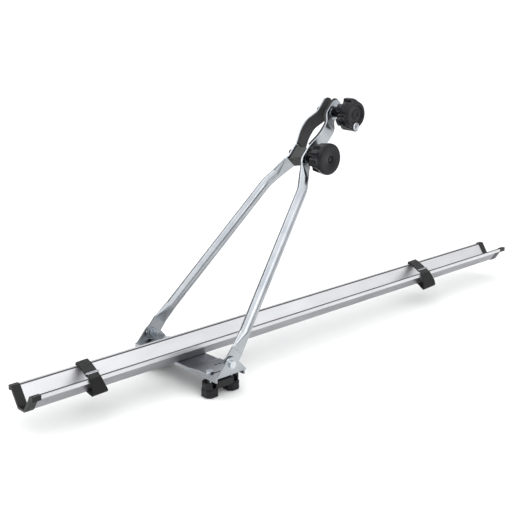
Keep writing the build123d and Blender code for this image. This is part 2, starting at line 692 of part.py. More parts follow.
def jaw_liner(side, jaw_gap, jaw_travel):
    """The rubber strip on the inside of a jaw, with a lip past the steel tip."""
    gap = -(FLAT_THICKNESS + LINER_THICKNESS) / 2
    corners = [
        (JAW_REACH + LINER_START, JAW_CORNERS[2][1]),
        *JAW_CORNERS[3:-1],
        (JAW_CORNERS[-1][0] + LINER_LIP, JAW_MOUTH),
    ]
    rise = (JAW_BOW - JAW_THROAT) / (JAW_BOW_START - JAW_THROAT_FLAT)
    corners[0] = (corners[0][0], JAW_THROAT + rise * (LINER_START - JAW_THROAT_FLAT))
    path, radii = parallel(corners, JAW_RADII[2:], gap)
    with BuildPart() as liner:
        with BuildSketch(arm_plane(side)):
            with BuildLine():
                FilletPolyline(*path, radius=radii)
            trace(line_width=LINER_THICKNESS)
        extrude(amount=JAW_WIDTH / 2, both=True)
        tip_face = liner.faces().sort_by(Axis((PIVOT_X, 0, PIVOT_Z), ALONG))[-1]
        fillet(tip_face.edges().filter_by(Axis.Y), TIP_RADIUS)
        add(bolt_slot(UPPER_BOLT_X, UPPER_BOLT_Z, jaw_gap, jaw_travel))
        extrude(amount=HALF_PLATE, dir=(0, side, 0), mode=Mode.SUBTRACT)
    return liner


write(jaw_liner(1, HOLE_FIT, 0), "far_jaw_liner")
write(jaw_liner(-1, SWING_GAP, SWING_RISE), "near_jaw_liner")

BLOCK_FAR = THROAT_FACE - FLAT_THICKNESS
BLOCK_NEAR = BLOCK_FAR - SIDE_GAP
BLOCK_NEAR_WIDTH = JAW_WIDTH - 2 * BLOCK_GROOVE
BLOCK_TOP_VIEW = Plane(
    origin=(LOWER_BOLT_X, 0, LOWER_BOLT_Z), x_dir=arm_plane(1).z_dir, z_dir=ALONG
)

with BuildPart() as spacer_block:
    with BuildSketch(arm_plane(1)):
        with BuildLine():
            Polyline(
                (JAW_REACH - BLOCK_LOW, BLOCK_FAR),
                (JAW_REACH + BLOCK_HIGH, BLOCK_FAR),
                (JAW_REACH + BLOCK_WAIST, -BLOCK_NEAR),
                (JAW_REACH - BLOCK_HIGH, -BLOCK_NEAR),
                close=True,
            )
        make_face()
    extrude(amount=JAW_WIDTH / 2, both=True)
    with BuildSketch(BLOCK_TOP_VIEW):
        with BuildLine():
            Polyline(
                (-JAW_WIDTH / 2, BLOCK_FAR),
                (JAW_WIDTH / 2, BLOCK_FAR),
                (BLOCK_NEAR_WIDTH / 2, -BLOCK_NEAR),
                (-BLOCK_NEAR_WIDTH / 2, -BLOCK_NEAR),
                close=True,
            )
        make_face()
    extrude(amount=BLOCK_LOW + OVERRUN, both=True, mode=Mode.INTERSECT)
    with BuildSketch(arm_plane(1)):
        with Locations((JAW_REACH + BLOCK_WAIST + BLOCK_SADDLE, -BLOCK_GROOVE)):
            Circle(BLOCK_SADDLE)
    extrude(amount=JAW_WIDTH, both=True, mode=Mode.SUBTRACT)
    with BuildSketch(across(LOWER_BOLT_X, 0, LOWER_BOLT_Z)):
        Circle(BOLT / 2 + HOLE_FIT)
    extrude(amount=JAW_WIDTH, both=True, mode=Mode.SUBTRACT)
write(spacer_block, "spacer_block")


# Clamp bolts of the head, with a plastic cap on the far end of each

def head_bolt(x, z, strip_face, knob_face):
    """A bolt along Y with a collar on the far strip, ending inside the knob."""
    with BuildPart() as bolt:
        with BuildSketch(across(x, strip_face, z)):
            Circle(BOLT / 2)
        extrude(amount=strip_face + knob_face - BOLT_RECESS)
        with BuildSketch(across(x, strip_face + BOLT_COLLAR_HEIGHT, z)):
            Circle(BOLT_COLLAR / 2)
        extrude(amount=BOLT_COLLAR_HEIGHT)
    return bolt


write(head_bolt(LOWER_BOLT_X, LOWER_BOLT_Z, THROAT_FACE, LOWER_KNOB_FACE), "lower_bolt")
write(head_bolt(UPPER_BOLT_X, UPPER_BOLT_Z, MOUTH_FACE, UPPER_KNOB_FACE), "upper_bolt")

with BuildPart() as bolt_end_caps:
    for x, z, strip_face in (
        (LOWER_BOLT_X, LOWER_BOLT_Z, THROAT_FACE),
        (UPPER_BOLT_X, UPPER_BOLT_Z, MOUTH_FACE),
    ):
        with BuildSketch(across(x, strip_face + CAP_REACH, z)):
            RegularPolygon(CAP_DIAMETER / 2, SMALL_FLATS)
        extrude(amount=CAP_REACH - BOLT_COLLAR_HEIGHT)
    cap_ends = bolt_end_caps.faces().filter_by(Axis.Y).filter_by(
        lambda face: face.center().Y - CAP_REACH in (THROAT_FACE, MOUTH_FACE)
    )
    chamfer(cap_ends.edges(), CAP_EDGE)
write(bolt_end_caps, "bolt_end_caps")


def thrust_washer(x, z, strip_face, diameter):
    """The washer that a knob bears on."""
    with BuildPart() as washer:
        with BuildSketch(across(x, -strip_face - SIDE_GAP, z)):
            RegularPolygon(diameter / 2, SMALL_FLATS, major_radius=False)
            RegularPolygon(
                BOLT / 2 + RUNNING_FIT, SMALL_FLATS, major_radius=False, mode=Mode.SUBTRACT
            )
        extrude(amount=WASHER_THICKNESS)
    return washer


LOWER_WASHER = thrust_washer(LOWER_BOLT_X, LOWER_BOLT_Z, THROAT_FACE, LOWER_WASHER_DIAMETER)
UPPER_WASHER = thrust_washer(UPPER_BOLT_X, UPPER_BOLT_Z, MOUTH_FACE, UPPER_WASHER_DIAMETER)
write(LOWER_WASHER, "lower_thrust_washer")
write(UPPER_WASHER, "upper_thrust_washer")

LOWER_HUB_BACK = THROAT_FACE + 2 * SIDE_GAP + WASHER_THICKNESS
UPPER_HUB_BACK = MOUTH_FACE + 2 * SIDE_GAP + WASHER_THICKNESS


def knob_bore(x, z, hub_back, face):
    """What is cut from a knob: the bolt's bore and the wider recess in its face."""
    with BuildPart() as bore:
        with BuildSketch(across(x, -hub_back + OVERRUN, z)):
            Circle(BOLT / 2 + RUNNING_FIT)
        extrude(amount=face)
        with BuildSketch(across(x, -face + BOLT_RECESS, z)):
            Circle(FACE_RECESS_DIAMETER / 2)
        extrude(amount=BOLT_RECESS + OVERRUN)
    return bore.part


LOWER_KNOB_BACK = LOWER_KNOB_FACE - LOWER_KNOB_SKIRT
RIM_PLACE = LOWER_KNOB_FACE - LOWER_KNOB_RIM
SKIRT_RUN = LOWER_KNOB_SKIRT - LOWER_KNOB_RIM
SKIRT_TAPER = math.degrees(
    math.atan2((LOWER_KNOB_DIAMETER - LOWER_KNOB_BACK_DIAMETER) / 2, SKIRT_RUN)
)

with BuildPart() as lower_knob:
    with BuildSketch(across(LOWER_BOLT_X, -RIM_PLACE, LOWER_BOLT_Z)):
        RegularPolygon(LOWER_KNOB_DIAMETER / 2, BIG_FLATS)
    extrude(amount=LOWER_KNOB_RIM)
    chamfer(lower_knob.faces().sort_by(Axis.Y)[0].edges(), LOWER_KNOB_EDGE)
    with BuildSketch(across(LOWER_BOLT_X, -RIM_PLACE, LOWER_BOLT_Z)):
        RegularPolygon(LOWER_KNOB_DIAMETER / 2, BIG_FLATS)
    extrude(amount=-SKIRT_RUN, taper=SKIRT_TAPER)
    with BuildSketch(across(LOWER_BOLT_X, -LOWER_KNOB_BACK, LOWER_BOLT_Z)):
        RegularPolygon(LOWER_HUB_DIAMETER / 2, SMALL_FLATS)
    extrude(amount=LOWER_HUB_BACK - LOWER_KNOB_BACK)
    with BuildSketch(across(LOWER_BOLT_X, -LOWER_KNOB_BACK, LOWER_BOLT_Z)):
        with PolarLocations(LOWER_KNOB_DIAMETER / 2 + FLUTE_RADIUS - FLUTE_DEPTH, FLUTE_COUNT):
            Circle(FLUTE_RADIUS)
    extrude(amount=SKIRT_RUN, mode=Mode.SUBTRACT)
    add(knob_bore(LOWER_BOLT_X, LOWER_BOLT_Z, LOWER_HUB_BACK, LOWER_KNOB_FACE), mode=Mode.SUBTRACT)
write(lower_knob, "lower_knob")

LOCK_Z = UPPER_BOLT_Z - LOCK_OFFSET
BODY_BACK = UPPER_KNOB_FACE - UPPER_KNOB_BODY

with BuildPart() as upper_knob:
    with BuildSketch(across(UPPER_BOLT_X, -BODY_BACK, UPPER_BOLT_Z)):
        RegularPolygon(UPPER_KNOB_DIAMETER / 2, BIG_FLATS)
        with PolarLocations(
            UPPER_KNOB_DIAMETER / 2 + LOBE_VALLEY_RADIUS - LOBE_VALLEY_DEPTH, LOBE_COUNT
        ):
            Circle(LOBE_VALLEY_RADIUS, mode=Mode.SUBTRACT)
    extrude(amount=UPPER_KNOB_BODY - UPPER_COLLAR)
    with BuildSketch(across(UPPER_BOLT_X, -UPPER_KNOB_FACE + UPPER_COLLAR, UPPER_BOLT_Z)):
        RegularPolygon(UPPER_KNOB_DIAMETER / 2, BIG_FLATS)
    extrude(amount=UPPER_COLLAR)
    collar_rim = upper_knob.faces().sort_by(Axis.Y)[0].edges()
    chamfer(collar_rim, UPPER_COLLAR_EDGE)
    with BuildSketch(across(UPPER_BOLT_X, -UPPER_KNOB_FACE + LOCK_BOSS_LENGTH, LOCK_Z)):
        RegularPolygon(LOCK_BOSS_DIAMETER / 2, SMALL_FLATS)
    extrude(amount=LOCK_BOSS_LENGTH)
    with BuildSketch(across(UPPER_BOLT_X, -UPPER_HUB_BACK, UPPER_BOLT_Z)):
        RegularPolygon(UPPER_HUB_DIAMETER / 2, SMALL_FLATS)
    extrude(amount=BODY_BACK - UPPER_HUB_BACK + OVERRUN)
    add(knob_bore(UPPER_BOLT_X, UPPER_BOLT_Z, UPPER_HUB_BACK, UPPER_KNOB_FACE), mode=Mode.SUBTRACT)
    with BuildSketch(across(UPPER_BOLT_X, -UPPER_KNOB_FACE + UPPER_CAP_DEPTH, UPPER_BOLT_Z)):
        RegularPolygon(UPPER_CAP_DIAMETER / 2 + CAP_FIT, BIG_FLATS)
    extrude(amount=UPPER_CAP_DEPTH + OVERRUN, mode=Mode.SUBTRACT)
    with BuildSketch(across(UPPER_BOLT_X, -UPPER_KNOB_FACE + LOCK_SLEEVE_LENGTH, LOCK_Z)):
        RegularPolygon(LOCK_SLEEVE_DIAMETER / 2 + CAP_FIT, SMALL_FLATS)
    extrude(amount=LOCK_SLEEVE_LENGTH + OVERRUN, mode=Mode.SUBTRACT)
write(upper_knob, "upper_knob")

with BuildPart() as upper_knob_cap:
    with BuildSketch(across(UPPER_BOLT_X, -UPPER_KNOB_FACE + UPPER_CAP_DEPTH, UPPER_BOLT_Z)):
        RegularPolygon(UPPER_CAP_DIAMETER / 2, BIG_FLATS)
        with Locations((0, -LOCK_OFFSET)):
            RegularPolygon(LOCK_SLEEVE_DIAMETER / 2 + 2 * CAP_FIT, SMALL_FLATS, mode=Mode.SUBTRACT)
        Circle(FACE_RECESS_DIAMETER / 2, mode=Mode.SUBTRACT)
    extrude(amount=UPPER_CAP_DEPTH)
write(upper_knob_cap, "upper_knob_cap")

with BuildPart() as lock_sleeve:
    with BuildSketch(across(UPPER_BOLT_X, -UPPER_KNOB_FACE + LOCK_SLEEVE_LENGTH, LOCK_Z)):
        RegularPolygon(LOCK_SLEEVE_DIAMETER / 2, SMALL_FLATS)
    extrude(amount=LOCK_SLEEVE_LENGTH)
    with BuildSketch(across(UPPER_BOLT_X, -UPPER_KNOB_FACE + LOCK_BARREL_LENGTH, LOCK_Z)):
        RegularPolygon(
            LOCK_BARREL_DIAMETER / 2 + RUNNING_FIT, SMALL_FLATS, major_radius=False
        )
    extrude(amount=LOCK_BARREL_LENGTH + OVERRUN, mode=Mode.SUBTRACT)
write(lock_sleeve, "lock_sleeve")

with BuildPart() as lock_barrel:
    with BuildSketch(across(UPPER_BOLT_X, -UPPER_KNOB_FACE + LOCK_BARREL_LENGTH - SIDE_GAP, LOCK_Z)):
        Circle(LOCK_BARREL_DIAMETER / 2)
    extrude(amount=LOCK_BARREL_LENGTH - SIDE_GAP)
    with BuildSketch(across(UPPER_BOLT_X, -UPPER_KNOB_FACE + KEY_SLOT_DEPTH, LOCK_Z)):
        Rectangle(KEY_SLOT_WIDTH, KEY_SLOT_LENGTH)
    extrude(amount=KEY_SLOT_DEPTH + OVERRUN, mode=Mode.SUBTRACT)
write(lock_barrel, "lock_barrel")


# Wheel straps

def strap_plane(x, skew):
    """The upright plane of a strap's loop: x runs across the tray, y up."""
    turn = math.radians(skew)
    sine, cosine = math.sin(turn), math.cos(turn)
    return Plane(origin=(x, 0, 0), x_dir=(sine, cosine, 0), z_dir=(cosine, -sine, 0))


def strap_corners(skew):
    """Corners of the loop's middle line, from the far top round the near side."""
    stretch = 1 / math.cos(math.radians(skew))
    edge = (TRAY_WIDTH / 2) * stretch + STRAP_GAP + STRAP_THICKNESS
    top = TRAY_TOP + STRAP_GAP + STRAP_THICKNESS / 2
    under = TRAY_UNDER - STRAP_GAP - STRAP_THICKNESS / 2
    floor = (TRAY_FLOOR / 2) * stretch
    fold = under + STRAP_FOLD_RISE
    return [
        (0, top + STRAP_RISE * STRAP_CROWN_SHARE),
        (-edge, top),
        (-edge - STRAP_SIDE_OUT * STRAP_LIP_SHARE, top - LIP_DROP - STRAP_THICKNESS),
        (-edge - STRAP_SIDE_OUT, fold),
        (-floor, under),
        (floor, under),
        (edge + STRAP_SIDE_OUT * STRAP_FAR_SHARE, fold),
        (edge, top + STRAP_RISE),
    ]


def wheel_strap(x, skew):
    """A loose loop of flat webbing round the tray."""
    corners = strap_corners(skew)
    with BuildPart() as strap:
        with BuildSketch(strap_plane(x, skew)):
            with BuildLine():
                Polyline(*corners, close=True)
            trace(line_width=STRAP_THICKNESS)
        extrude(amount=STRAP_WIDTH / 2 / math.cos(math.radians(skew)), both=True, dir=(1, 0, 0))
    return strap


def strap_buckle(x, skew):
    """A flat wire frame that lies on the webbing."""
    flat = strap_plane(x, skew)
    crown = STRAP_RISE * STRAP_CROWN_SHARE
    level = TRAY_TOP + STRAP_GAP + STRAP_THICKNESS + crown + SIDE_GAP
    middle = flat.from_local_coords(Vector(-BUCKLE_PLACE, level, 0))
    with BuildPart() as buckle:
        with BuildSketch(Plane(origin=middle, x_dir=flat.z_dir, z_dir=(0, 0, 1))):
            outer = STRAP_WIDTH + 2 * (BUCKLE_SIDE_GAP + BUCKLE_WIRE)
            RectangleRounded(outer, BUCKLE_LENGTH, BUCKLE_WIRE)
            for step in (-1, 1):
                with Locations((0, step * (BUCKLE_LENGTH - BUCKLE_WIRE) / 4)):
                    Rectangle(
                        outer - 2 * BUCKLE_WIRE,
                        (BUCKLE_LENGTH - 3 * BUCKLE_WIRE) / 2,
                        mode=Mode.SUBTRACT,
                    )
        extrude(amount=BUCKLE_WIRE)
    return buckle


write(wheel_strap(LEFT_STRAP_X, LEFT_STRAP_SKEW), "left_strap")
write(strap_buckle(LEFT_STRAP_X, LEFT_STRAP_SKEW), "left_buckle")
write(wheel_strap(RIGHT_STRAP_X, RIGHT_STRAP_SKEW), "right_strap")
write(strap_buckle(RIGHT_STRAP_X, RIGHT_STRAP_SKEW), "right_buckle")
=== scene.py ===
import bmesh
import bpy
import json
import math
from mathutils import Matrix, Vector


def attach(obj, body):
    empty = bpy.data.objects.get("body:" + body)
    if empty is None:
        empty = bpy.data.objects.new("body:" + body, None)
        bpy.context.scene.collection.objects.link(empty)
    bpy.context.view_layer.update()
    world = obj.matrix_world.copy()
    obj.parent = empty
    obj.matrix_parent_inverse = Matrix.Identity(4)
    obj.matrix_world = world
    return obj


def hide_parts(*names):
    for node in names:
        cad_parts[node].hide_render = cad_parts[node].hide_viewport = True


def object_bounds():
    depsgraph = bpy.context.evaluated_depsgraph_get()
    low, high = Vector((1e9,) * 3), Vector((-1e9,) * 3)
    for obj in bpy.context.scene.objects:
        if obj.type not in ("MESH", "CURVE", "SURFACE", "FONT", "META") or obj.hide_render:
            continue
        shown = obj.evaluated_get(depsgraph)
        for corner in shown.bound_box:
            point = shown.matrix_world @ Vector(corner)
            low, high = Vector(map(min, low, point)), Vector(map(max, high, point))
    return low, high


# The roof mounted bike carrier, in metres, in the frame of the CAD model.
# Most hard pieces are the CAD nodes with better materials. The straps with their buckles, the
# two head knobs, the lock and the near jaw's rubber are modelled here and stand for their nodes.

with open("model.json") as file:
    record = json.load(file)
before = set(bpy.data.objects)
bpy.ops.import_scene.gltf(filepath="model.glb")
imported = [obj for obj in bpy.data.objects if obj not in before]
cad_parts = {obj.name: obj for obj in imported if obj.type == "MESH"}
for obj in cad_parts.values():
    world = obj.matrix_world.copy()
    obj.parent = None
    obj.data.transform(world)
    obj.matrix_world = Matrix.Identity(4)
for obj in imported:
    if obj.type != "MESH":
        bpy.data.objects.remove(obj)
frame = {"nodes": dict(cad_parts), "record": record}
cad_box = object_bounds()
scene = bpy.context.scene
MM = 0.001


# Camera: worked out from the edges of the tray, the plate and the arms in the photograph

CAMERA_PLACE = Vector((-1.10614, -1.34351, 0.69586))
CAMERA_YAW = math.radians(-43.4776)
CAMERA_PITCH = math.radians(16.0874)
CAMERA_ROLL = math.radians(0.3645)
CAMERA_FOCAL_PIXELS = 1023.554
PHOTO_PIXELS = 512
SENSOR_WIDTH = 36        # in millimetres, as Blender counts it
CLIP_NEAR = 0.05
CLIP_FAR = 200


def make_camera():
    """Place the camera by its yaw, pitch and roll."""
    cos_pitch = math.cos(CAMERA_PITCH)
    back = Vector((
        math.sin(CAMERA_YAW) * cos_pitch,
        -math.cos(CAMERA_YAW) * cos_pitch,
        math.sin(CAMERA_PITCH),
    ))
    level = Vector((math.cos(CAMERA_YAW), math.sin(CAMERA_YAW), 0))
    up = back.cross(level)
    right = level * math.cos(CAMERA_ROLL) + up * math.sin(CAMERA_ROLL)
    up = back.cross(right)
    data = bpy.data.cameras.new("camera")
    data.sensor_width = SENSOR_WIDTH
    data.lens = SENSOR_WIDTH * (CAMERA_FOCAL_PIXELS / PHOTO_PIXELS)
    data.clip_start = CLIP_NEAR
    data.clip_end = CLIP_FAR
    data.dof.use_dof = False
    camera = bpy.data.objects.new("camera", data)
    turned = Matrix((right, up, back)).transposed().to_4x4()
    camera.matrix_world = Matrix.Translation(CAMERA_PLACE) @ turned
    scene.collection.objects.link(camera)
    scene.camera = camera


make_camera()


# Materials

def linear(code):
    """An sRGB hex colour as linear red, green, blue and alpha."""
    values = [int(code[i:i + 2], 16) / 255 for i in (1, 3, 5)]
    return [v / 12.92 if v <= 0.04045 else ((v + 0.055) / 1.055) ** 2.4 for v in values] + [1]


def add_node(tree, kind, inputs=None, **settings):
    """Add one node; inputs maps socket names to a value or to the socket that feeds it."""
    made = tree.nodes.new(kind)
    for key, value in settings.items():
        setattr(made, key, value)
    for name, value in (inputs or {}).items():
        socket = made.inputs[name]
        if isinstance(value, bpy.types.NodeSocket):
            tree.links.new(value, socket)
        else:
            socket.default_value = value
    return made


def new_material(name):
    """An empty material with its shader, its output and the object's coordinates."""
    material = bpy.data.materials.new(name)
    material.use_nodes = True
    tree = material.node_tree
    tree.nodes.clear()
    shader = add_node(tree, "ShaderNodeBsdfPrincipled")
    output = add_node(tree, "ShaderNodeOutputMaterial")
    tree.links.new(shader.outputs["BSDF"], output.inputs["Surface"])
    place = add_node(tree, "ShaderNodeTexCoord")
    return material, tree, shader, place


def calculate(tree, operation, *values):
    """The result of a math node; each value is a number or the socket that feeds it."""
    made = add_node(tree, "ShaderNodeMath", dict(enumerate(values)), operation=operation)
    return made.outputs[0]


def mix(tree, share, first, second):
    """The mix of two colours, each a linear colour or the socket that feeds it."""
    made = add_node(tree, "ShaderNodeMix", {0: share, 6: first, 7: second}, data_type="RGBA")
    return made.outputs[2]


def stretched_noise(tree, place, periods_mm, detail):
    """Noise whose features measure about periods_mm along X, Y and Z."""
    scale = [1 / (period * MM) for period in periods_mm]
    mapped = add_node(tree, "ShaderNodeMapping", {
        "Vector": place.outputs["Object"],
        "Scale": scale,
    })
    made = add_node(tree, "ShaderNodeTexNoise", {
        "Vector": mapped.outputs["Vector"],
        "Scale": 1.0,
        "Detail": detail,
        "Roughness": 0.5,
    })
    return made.outputs["Fac"]


NOISE_LOW = 0.3          # most of a noise lies between these two
NOISE_HIGH = 0.7


def ramp(tree, source, low, high, start=NOISE_LOW, end=NOISE_HIGH):
    """Map a value that runs from start to end onto low to high."""
    made = add_node(tree, "ShaderNodeMapRange", {
        "Value": source,
        "From Min": start,
        "From Max": end,
        "To Min": low,
        "To Max": high,
    })
    return made.outputs["Result"]


def blend_colours(tree, source, dark, light):
    """Mix two hex colours by a noise, or by another value from 0 to 1."""
    return mix(tree, ramp(tree, source, 0.0, 1.0), linear(dark), linear(light))


def bump(tree, shader, height, depth_mm):
    """Feed a height of that depth into the shader's normal."""
    made = add_node(tree, "ShaderNodeBump", {
        "Height": height,
        "Distance": depth_mm * MM,
        "Strength": 1.0,
    })
    tree.links.new(made.outputs["Normal"], shader.inputs["Normal"])


METAL_CLOUD = (38, 38, 38)           # size of the slow changes of shade, in millimetres
PLASTIC_CLOUD = (22, 22, 22)


def metal(name, dark, light, rough_low, rough_high, periods_mm, depth_mm):
    """A metal with a slow change of shade; one finer noise varies its polish and surface."""
    material, tree, shader, place = new_material(name)
    shader.inputs["Metallic"].default_value = 1.0
    grain = stretched_noise(tree, place, periods_mm, 4.0)
    cloud = stretched_noise(tree, place, METAL_CLOUD, 3.0)
    tree.links.new(blend_colours(tree, cloud, dark, light), shader.inputs["Base Color"])
    tree.links.new(ramp(tree, grain, rough_low, rough_high), shader.inputs["Roughness"])
    bump(tree, shader, grain, depth_mm)
    return material


def plastic(name, dark, light, rough_low, rough_high, grain_mm, depth_mm, shine=0.3):
    """A moulded plastic or rubber with a fine grain and slow changes of shade."""
    material, tree, shader, place = new_material(name)
    shader.inputs["Specular IOR Level"].default_value = shine
    grain = stretched_noise(tree, place, (grain_mm, grain_mm, grain_mm), 2.0)
    cloud = stretched_noise(tree, place, PLASTIC_CLOUD, 3.0)
    tree.links.new(blend_colours(tree, cloud, dark, light), shader.inputs["Base Color"])
    tree.links.new(ramp(tree, cloud, rough_low, rough_high), shader.inputs["Roughness"])
    bump(tree, shader, grain, depth_mm)
    return material


# The gutter's section and finish, in millimetres
MOUTH_EDGE = 28.3        # half the clear mouth of the gutter
NEAR_SHADE_LINE_EXTRA = 2.6          # how much wider the painted shade line is on the near flange
SHADE_LINE_RADIUS = (1.1, 1.9)             # the painted shade line fades out between these, from its middle
TRAY_TOP = 37.0
FLANGE_FOOT = (30.3, 30.8)           # the painted shade on the outside ends between these heights
WALL_SLOPE = 0.662       # how far a wall leans out for its height
WALL_FOOT = 5.4          # where the middle of a wall would meet the level of the roof bar
WALL_BLEND = 0.1         # half the width over which the inside colour turns into the painted shade of the outside
DIE_LINES = (160, 0.5, 0.5)
GUTTER_CLOUD = (90, 30, 30)


def gutter_metal():
    """The gutter's aluminium: bright inside, painted darker outside as shade, with a painted shade
    line along the inner edge.
    """
    material, tree, shader, place = new_material("drawn_anodised_aluminium")
    shader.inputs["Metallic"].default_value = 1.0
    lines = stretched_noise(tree, place, DIE_LINES, 4.0)
    cloud = stretched_noise(tree, place, GUTTER_CLOUD, 3.0)
    split = add_node(tree, "ShaderNodeSeparateXYZ", {"Vector": place.outputs["Object"]})
    height = split.outputs["Z"]

    # Outside is what lies beyond the middle of the wall and under the flange; it is painted darker
    # as shade, since it faces down, away from the light
    across = calculate(tree, "ABSOLUTE", split.outputs["Y"])
    middle = calculate(tree, "MULTIPLY_ADD", height, WALL_SLOPE, WALL_FOOT * MM)
    beyond = calculate(tree, "SUBTRACT", across, middle)
    side = ramp(tree, beyond, 0.0, 1.0, -WALL_BLEND * MM, WALL_BLEND * MM)
    low = ramp(tree, height, 1.0, 0.0, FLANGE_FOOT[0] * MM, FLANGE_FOOT[1] * MM)
    outer_shade_mask = calculate(tree, "MULTIPLY", side, low)
    # Inside is the aluminium's own colour; the darker outer colour is painted shade on the
    # downward-facing outside
    inner = blend_colours(tree, cloud, "#d0d0d2", "#dadadc")
    outer = blend_colours(tree, cloud, "#9c9ca0", "#aeaeb2")
    body = mix(tree, outer_shade_mask, inner, outer)

    # A painted shade line follows the flange's inner upper edge
    band = ramp(tree, split.outputs["Y"], NEAR_SHADE_LINE_EXTRA * MM, 0.0, -MM, MM)
    past = calculate(tree, "SUBTRACT", across, MOUTH_EDGE * MM)
    from_edge = calculate(tree, "MAXIMUM", calculate(tree, "SUBTRACT", past, band), 0.0)
    from_top = calculate(tree, "SUBTRACT", height, TRAY_TOP * MM)
    offset = add_node(tree, "ShaderNodeCombineXYZ", {"X": from_edge, "Y": from_top})
    distance = add_node(
        tree, "ShaderNodeVectorMath", {0: offset.outputs["Vector"]}, operation="LENGTH"
    )
    edge = ramp(
        tree, distance.outputs["Value"], 1.0, 0.0, SHADE_LINE_RADIUS[0] * MM, SHADE_LINE_RADIUS[1] * MM
    )
    # The dark grey mixed in here is painted shade along the flange's inner edge
    final = mix(tree, edge, body, linear("#4c4a4c"))
    tree.links.new(final, shader.inputs["Base Color"])
    tree.links.new(ramp(tree, lines, 0.42, 0.52), shader.inputs["Roughness"])
    bump(tree, shader, lines, 0.002)
    return material


# Drawn, satin anodised aluminium: fine die lines run along the gutter and soften its glare;
# the outside is painted darker as shade, and the inner edge of each flange has a painted shade
# line
ANODISED = gutter_metal()
# Bright zinc on drawn and pressed steel: a cool grey with a slow cloudy change in polish
ZINC = metal("bright_zinc_plated_steel", "#999da2", "#abafb3", 0.22, 0.26, (14, 14, 14), 0.0)
# Zinc on turned screws and nuts: a little brighter and smoother than the plate
SCREW_ZINC = metal("zinc_plated_screw_steel", "#b2b8be", "#c8cdd1", 0.18, 0.30, (2, 2, 2), 0.004)
# Chromed brass of the lock: clean and almost mirror smooth
CHROME = metal("chromed_brass", "#d6d9dc", "#e2e5e7", 0.07, 0.12, (6, 6, 6), 0.001)
# Moulded polyamide of the caps, block and clamp bars: near black with a fine spark-eroded grain
CAP_PLASTIC = plastic("moulded_black_polyamide", "#08080a", "#101013", 0.26, 0.36, 0.7, 0.012)
# Knob moulding: a shade lighter and glossier, so that its rims catch the light
KNOB_PLASTIC = plastic("moulded_knob_polyamide", "#141418", "#1b1b1f", 0.16, 0.24, 0.9, 0.008, 0.2)
# Moulded rubber of the jaw strips and the seat pad: dull, slightly bloomed black
RUBBER = plastic("moulded_black_rubber", "#2a2a2b", "#343436", 0.55, 0.70, 1.4, 0.010)

FINISHES = {
    "anodised_aluminium": ANODISED,
    "black_plastic": CAP_PLASTIC,
    "knob_plastic": KNOB_PLASTIC,
    "black_rubber": RUBBER,
    "zinc_steel": ZINC,
    "bright_zinc_steel": SCREW_ZINC,
    "chromed_brass": CHROME,
}

for part in frame["record"]["subparts"]:
    finish = FINISHES.get(part["material_slot"])
    if finish:
        mesh = frame["nodes"][part["node"]].data
        mesh.materials.clear()
        mesh.materials.append(finish)


# Moulded pieces have small soft edges that catch the light, this wide in millimetres
SOFT_ANGLE = 38          # edges sharper than this many degrees are softened
SOFT_EDGES = {
    "near_left_clamp_knob": 1.6,
    "near_right_clamp_knob": 1.6,
    "far_left_clamp_knob": 1.6,
    "far_right_clamp_knob": 1.6,
    "near_clamp_bar": 1.0,
    "far_clamp_bar": 1.0,
    "left_end_cap": 0.8,
    "right_end_cap": 0.8,
}

for node_name, width in SOFT_EDGES.items():
    soften = frame["nodes"][node_name].modifiers.new("soft_edges", "BEVEL")
    soften.width = width * MM
    soften.segments = 3
    soften.limit_method = "ANGLE"
    soften.angle_limit = math.radians(SOFT_ANGLE)


# Woven polypropylene webbing: black ribs lie across the band, and yarns run along it
RIB_MM = 1.5
YARN_MM = 1.1


def webbing_material():
    """Plain-weave webbing: u runs along the band and v across it, both in millimetres."""
    material, tree, shader, place = new_material("woven_black_webbing")
    split = add_node(tree, "ShaderNodeSeparateXYZ", {"Vector": place.outputs["UV"]})
    waves = []
    for axis, period in (("X", RIB_MM), ("Y", YARN_MM)):
        turn = calculate(tree, "MULTIPLY", split.outputs[axis], math.tau / period)
        waves.append(calculate(tree, "SINE", turn))
    height = ramp(tree, calculate(tree, "MULTIPLY", *waves), 0.0, 1.0, -1.0, 1.0)
    colour = blend_colours(tree, height, "#050506", "#121214")
    tree.links.new(colour, shader.inputs["Base Color"])
    shader.inputs["Roughness"].default_value = 0.78
    shader.inputs["Specular IOR Level"].default_value = 0.3
    shader.inputs["Sheen Weight"].default_value = 0.10
    shader.inputs["Sheen Roughness"].default_value = 0.45
    bump(tree, shader, height, 0.25)
    return material


WEBBING = webbing_material()
# Bent steel wire of the buckles, bright zinc plated
WIRE = metal("zinc_plated_wire", "#b6bbc0", "#cdd1d5", 0.20, 0.32, (1.5, 1.5, 1.5), 0.004)


# Straps

STRAP_THICKNESS = 1.6
STRAP_STEPS = 16         # rings of a band's mesh between two of its stations

